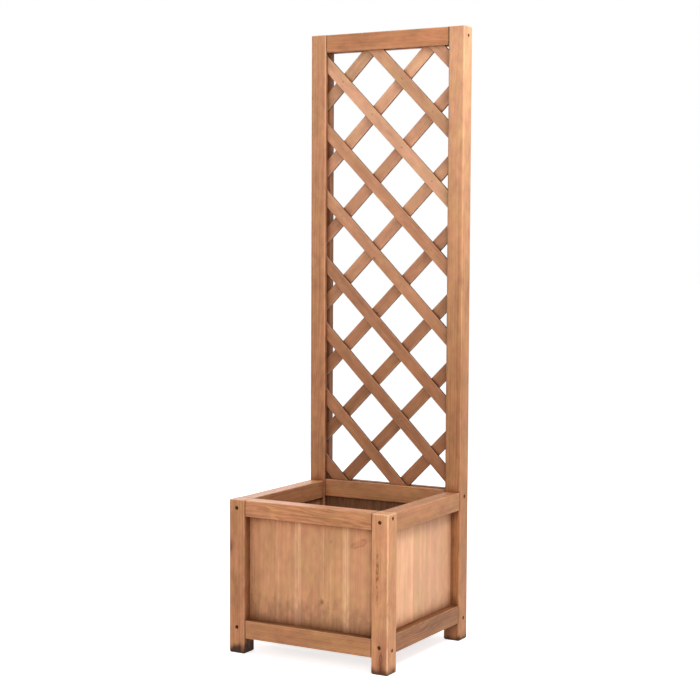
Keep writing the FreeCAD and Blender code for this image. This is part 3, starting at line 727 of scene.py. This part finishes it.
def dress_board(node, across, along, marks=None, **looks):
    """Give a CAD node its own stained softwood, with the grain along the piece.

    Marks are a knot, a swirl or a streak by its place on the whole object, in millimetres.
    """
    material, g = new_material(node + "_wood")
    wood = add_wood(g, node, board_axes(across, along), marks or {}, looks)
    shader = g.tree.nodes["Principled BSDF"]
    bump = g.node("ShaderNodeBump")
    bump.inputs["Strength"].default_value = RELIEF_STRENGTH
    bump.inputs["Distance"].default_value = RELIEF_DEPTH * MM
    g.link(wood.outputs["Color"], shader.inputs["Base Color"])
    g.link(wood.outputs["Roughness"], shader.inputs["Roughness"])
    g.link(wood.outputs["Relief"], bump.inputs["Height"])
    g.link(bump.outputs[0], shader.inputs["Normal"])
    shader.inputs["Specular IOR Level"].default_value = SHINE
    dress(node, material)


X, Y, Z = (1, 0, 0), (0, 1, 0), (0, 0, 1)
DOWN_RIGHT, UP_RIGHT = (1, 0, -1), (1, 0, 1)


def dress_posts():
    """The front left post has a knot, and the front right one a resin streak and a foot knot."""
    # Each post's inner side is painted with shade, which also lifts the darkening of its foot
    # there.
    dress_board("front_left_post", X, Z, tone=0.85, figure=0.2, damp=0.92, damp_rise=24.0,
                side_stain=0.5, marks={"Knot": (-184, -180, 222)}, knot_radius=5.0,
                knot_stretch=2.0)
    # The front right post's arris carries a strong painted highlight besides its wear.
    dress_board("front_right_post", X, Z, tone=1.10, figure=0.22, damp=0.7, damp_rise=20.0,
                side_stain=-0.5, wear=0.95, paleness=0.10, pale_streaks=0.6,
                marks={"Streak": (163, -180, 195), "Knot": (172, -182, 18)},
                streak_length=78.0, knot_radius=6.0, knot_stretch=6.0)
    # The rear posts are painted paler towards their tops, as light.
    dress_board("rear_left_post", X, Z, tone=0.81, hue=-0.12, pale_top=0.25, damp=0.85,
                damp_rise=16.0, side_stain=0.7)
    dress_board("rear_right_post", X, Z, tone=0.77, hue=-0.03, pale_top=0.46, damp=0.85,
                damp_rise=13.0, side_stain=-0.7)


# Darker ends from the dark stain, and painted shade on faces that look into the box.
RAIL_STAINS_AND_SHADE = {"end_stain": 0.9, "inside_shade": 0.4}
# Side: tone of its top rail and of its bottom rail. The bottom rails' lower tones are partly
# painted shade.
RAIL_TONES = {"front": (0.97, 0.83), "rear": (1.05, 0.86), "left": (0.92, 0.86),
              "right": (0.78, 0.70)}
# The rear top rail's upper face is painted with shade.
TOP_RAIL_LOOKS = {
    "front": {"figure": 0.44, "pith_distance": 24.0, "waviness": 8.0, "run_out": 0.06,
              "pale_streaks": 0.6},
    "rear": {"ledge_stain": 0.5, "inside_shade": 0.0},
}
BOTTOM_RAIL_LOOKS = {
    "right": {"figure": 0.40, "pith_distance": 26.0, "waviness": 7.0, "run_out": 0.04,
              "hue": 0.2, "richness": 0.24, "ledge_stain": 0.25},
}


def dress_rails():
    """The front top rail and the right bottom rail have a strong wavy figure."""
    for side, (top_tone, bottom_tone) in RAIL_TONES.items():
        across, along = (Y, X) if side in ("front", "rear") else (X, Y)
        top = dict(RAIL_STAINS_AND_SHADE, tone=top_tone)
        top.update(TOP_RAIL_LOOKS.get(side, {}))
        dress_board(side + "_top_rail", across, along, **top)
        # The upper faces of the bottom rails are painted with shade.
        bottom = dict(RAIL_STAINS_AND_SHADE, tone=bottom_tone, ledge_stain=0.6)
        bottom.update(BOTTOM_RAIL_LOOKS.get(side, {}))
        dress_board(side + "_bottom_rail", across, along, **bottom)
    dress_board("trellis_top_rail", Y, X, tone=0.90, hue=-0.1, end_stain=0.9)


# Panels are painted with shade on their faces that look into the box.
PANEL_LOOKS = {"ring_width": 2.8, "pith_distance": 110.0, "figure": 0.15, "unevenness": 0.7,
               "stave_width": 57.0, "stave_shift": -4.1, "inside_shade": 0.75, "pin_knots": 0.3,
               "damp_base": 76.0, "damp_rise": 48.0, "damp": 0.20,
               "tone": 0.96, "hue": 0.05, "paleness": 0.18, "pale_streaks": 0.9}
PANEL_CHANGES = {
    "front": {"marks": {"Knot": (24.7, -159, 125.4), "Swirl": (112.0, -159, 253.0)},
              "knot_radius": 2.6, "pale_bands": 0.85, "pale_band": -32.6, "stave_shade_trend": 0.02,
              "damp": 0.3, "damp_rise": 60.0},
    "right": {"tone": 0.86, "hue": 0.0, "paleness": 0.72, "pale_streaks": 1.0,
              "pale_bands": 0.6, "pale_band": -120.0, "pale_band_spacing": 40.0,
              "stave_shade_trend": 0.08, "unevenness": 0.45, "damp": 0.1},
}


def dress_panels():
    """The front panel has a knot and a reddish loop, and the right one is the palest."""
    for side, across in (("front", X), ("rear", X), ("left", Y), ("right", Y)):
        looks = dict(PANEL_LOOKS)
        looks.update(PANEL_CHANGES.get(side, {}))
        dress_board(side + "_panel", across, Z, **looks)


# Layer: direction of its slats, and the looks of a middling slat.
# The slats are painted paler towards their tops, as light.
LATTICE_LAYERS = {
    "lattice_front_slat": (DOWN_RIGHT, {"tone": 0.79, "hue": -0.22, "pale_top": 0.55}),
    "lattice_back_slat": (UP_RIGHT, {"tone": 0.70, "hue": -0.12, "pale_top": 0.65}),
}
SLAT_SPREAD = {"tone": 0.10, "hue": 0.2, "pale_top": 0.3}    # from one slat to another
SLAT_STEPS = 100                    # how finely slats differ
# Slats that are browner or paler than their neighbours in the photograph.
SLAT_CHANGES = {
    "lattice_front_slat_2": {"tone": 0.83, "pale_top": 0.55, "hue": -0.05},
    "lattice_front_slat_6": {"tone": 0.73, "pale_top": 0.45, "hue": -0.15},
    "lattice_front_slat_7": {"tone": 0.66, "pale_top": 0.46, "hue": -0.12, "paleness": 0.34},
    "lattice_front_slat_8": {"tone": 0.66, "pale_top": 0.50, "hue": -0.10, "richness": 0.12},
    "lattice_back_slat_6": {"tone": 0.68, "pale_top": 0.55, "hue": -0.12},
    "lattice_back_slat_7": {"tone": 0.72, "pale_top": 0.60, "hue": -0.08, "paleness": 0.16},
}


def dress_lattice():
    """Each slat differs a little from its neighbours, and all have dark edges."""
    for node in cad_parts:
        layer = node.rpartition("_")[0]
        if layer not in LATTICE_LAYERS:
            continue
        along, middling = LATTICE_LAYERS[layer]
        place = number_from(node, SLAT_STEPS + 1) / SLAT_STEPS - 0.5
        looks = {name: value + SLAT_SPREAD[name] * place for name, value in middling.items()}
        looks.update(SLAT_CHANGES.get(node, {}))
        # The narrow edges of the slats are darker, with dark stain and painted shade.
        dress_board(node, Y, along, figure=0.26, edge_stain=1.0, **looks)


FLOOR_TONE = 0.72


def dress_box_floor():
    """The boards run from side to side, on bearers that run from front to back."""
    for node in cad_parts:
        if node.startswith("floor_board"):
            dress_board(node, Z, X, tone=FLOOR_TONE)
        elif node.startswith("floor_bearer"):
            dress_board(node, X, Y, tone=FLOOR_TONE)


# ---------------------------------------------------------------- fasteners

SPOT_SCALE = 0.8                    # features for each millimetre
SCREW_COLOURS = linear(176, 120, 76), linear(112, 76, 48)
BRAD_COLOURS = linear(206, 148, 104), linear(160, 112, 76)
FASTENERS = {
    "frame_screws": SCREW_COLOURS,
    "bearer_screws": SCREW_COLOURS,
    "floor_nails": SCREW_COLOURS,
    "lattice_brads": BRAD_COLOURS,
}


def dress_steel(node, bright, dull):
    """Yellow zinc plated steel that has dulled in spots."""
    material, g = new_material(node + "_steel")
    place = g.scaled(g.node("ShaderNodeTexCoord").outputs["Object"], 1 / MM)
    spots = g.noise(g.scaled(place, SPOT_SCALE), detail=4.0)
    shader = g.tree.nodes["Principled BSDF"]
    colour = g.mix(g.map_range(spots, 0.35, 0.7, 0.0, 1.0), bright, dull)
    g.link(colour, shader.inputs["Base Color"])
    g.link(g.swing(spots, 0.2, 0.3, 0.55), shader.inputs["Roughness"])
    shader.inputs["Metallic"].default_value = 1.0
    dress(node, material)


# ---------------------------------------------------------------- the scene

bpy.context.scene.view_settings.view_transform = "Standard"
WOOD = make_wood_group()
dress_posts()
dress_rails()
dress_panels()
dress_lattice()
dress_box_floor()
for fastener, colours in FASTENERS.items():
    dress_steel(fastener, *colours)
add_camera()
add_studio()
add_floor()
